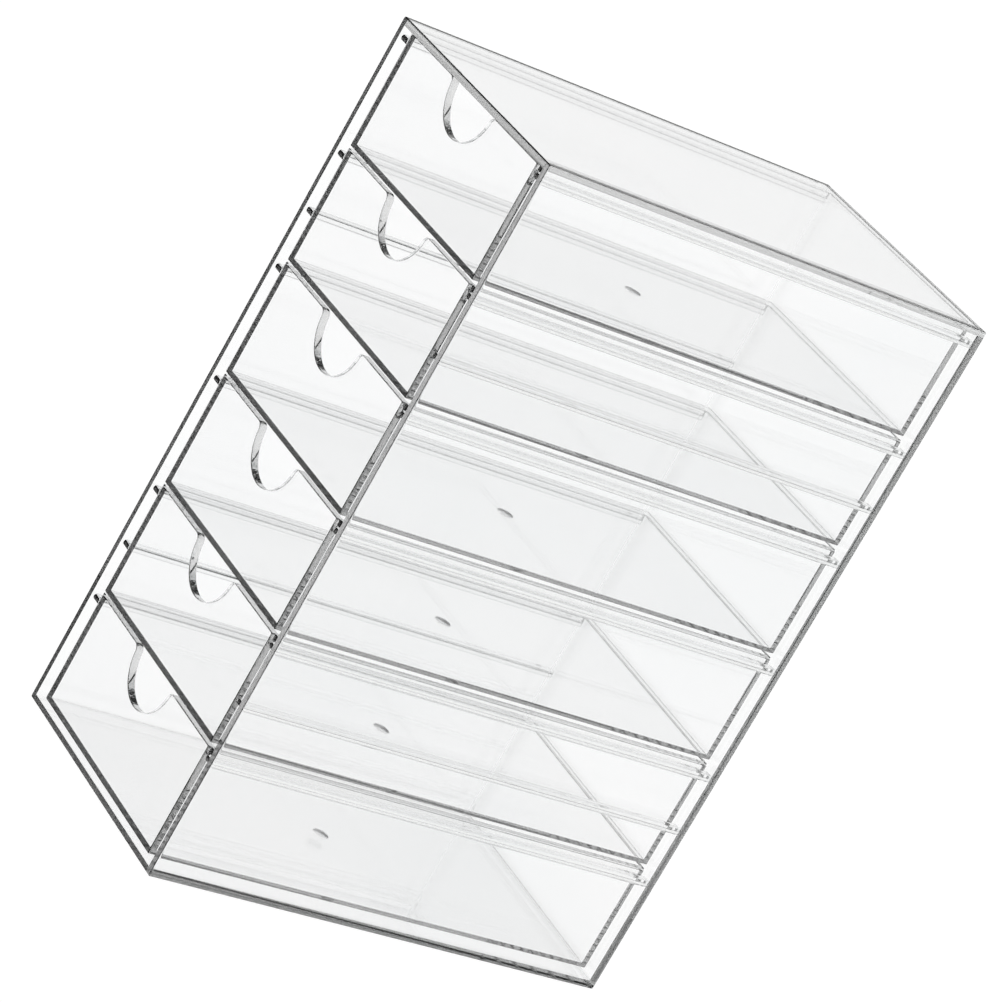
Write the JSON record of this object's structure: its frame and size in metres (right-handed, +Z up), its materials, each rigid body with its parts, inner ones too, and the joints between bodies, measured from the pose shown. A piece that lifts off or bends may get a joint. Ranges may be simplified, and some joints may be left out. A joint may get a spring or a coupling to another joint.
{
  "type": "desktop drawer organizer",
  "caption": "Clear desktop drawer tower: an open-fronted case with inner rails and shallow pull-out drawers, each with a half-round finger notch in its front, for small items.",
  "frame": {"origin": "centre of the underside of the base, on the table", "axes": "+Z up, drawer fronts face -Y and open that way, +X to the right of someone facing the drawers"},
  "size_m": [0.104, 0.175, 0.25],
  "materials": {
    "case_acrylic": "clear, polished, colourless sheet",
    "rail_acrylic": "clear, polished strip",
    "drawer_plastic": "clear, glossy moulding"
  },
  "bodies": {
    "case": {"top_panel": "case_acrylic", "base_panel": "case_acrylic", "left_side_panel": "case_acrylic", "right_side_panel": "case_acrylic", "back_panel": "case_acrylic", "left_rail_1": "rail_acrylic", "left_rail_2": "rail_acrylic", "left_spare_rail_upper": "rail_acrylic", "left_rail_3": "rail_acrylic", "left_rail_4": "rail_acrylic", "left_rail_5": "rail_acrylic", "left_spare_rail_lower": "rail_acrylic", "left_rail_6": "rail_acrylic", "right_rail_1": "rail_acrylic", "right_rail_2": "rail_acrylic", "right_spare_rail_upper": "rail_acrylic", "right_rail_3": "rail_acrylic", "right_rail_4": "rail_acrylic", "right_rail_5": "rail_acrylic", "right_spare_rail_lower": "rail_acrylic", "right_rail_6": "rail_acrylic"},
    "drawer_1": {"drawer_1": "drawer_plastic"},
    "drawer_2": {"drawer_2": "drawer_plastic"},
    "drawer_3": {"drawer_3": "drawer_plastic"},
    "drawer_4": {"drawer_4": "drawer_plastic"},
    "drawer_5": {"drawer_5": "drawer_plastic"},
    "drawer_6": {"drawer_6": "drawer_plastic"}
  },
  "joints": [
    {"name": "drawer_1_slide", "type": "slide", "parent": "case", "child": "drawer_1", "axis": [0, -1, 0], "range_m": [0, 0.115]},
    {"name": "drawer_2_slide", "type": "slide", "parent": "case", "child": "drawer_2", "axis": [0, -1, 0], "range_m": [0, 0.115]},
    {"name": "drawer_3_slide", "type": "slide", "parent": "case", "child": "drawer_3", "axis": [0, -1, 0], "range_m": [0, 0.115]},
    {"name": "drawer_4_slide", "type": "slide", "parent": "case", "child": "drawer_4", "axis": [0, -1, 0], "range_m": [0, 0.115]},
    {"name": "drawer_5_slide", "type": "slide", "parent": "case", "child": "drawer_5", "axis": [0, -1, 0], "range_m": [0, 0.115]},
    {"name": "drawer_6_slide", "type": "slide", "parent": "case", "child": "drawer_6", "axis": [0, -1, 0], "range_m": [0, 0.115]}
  ]
}
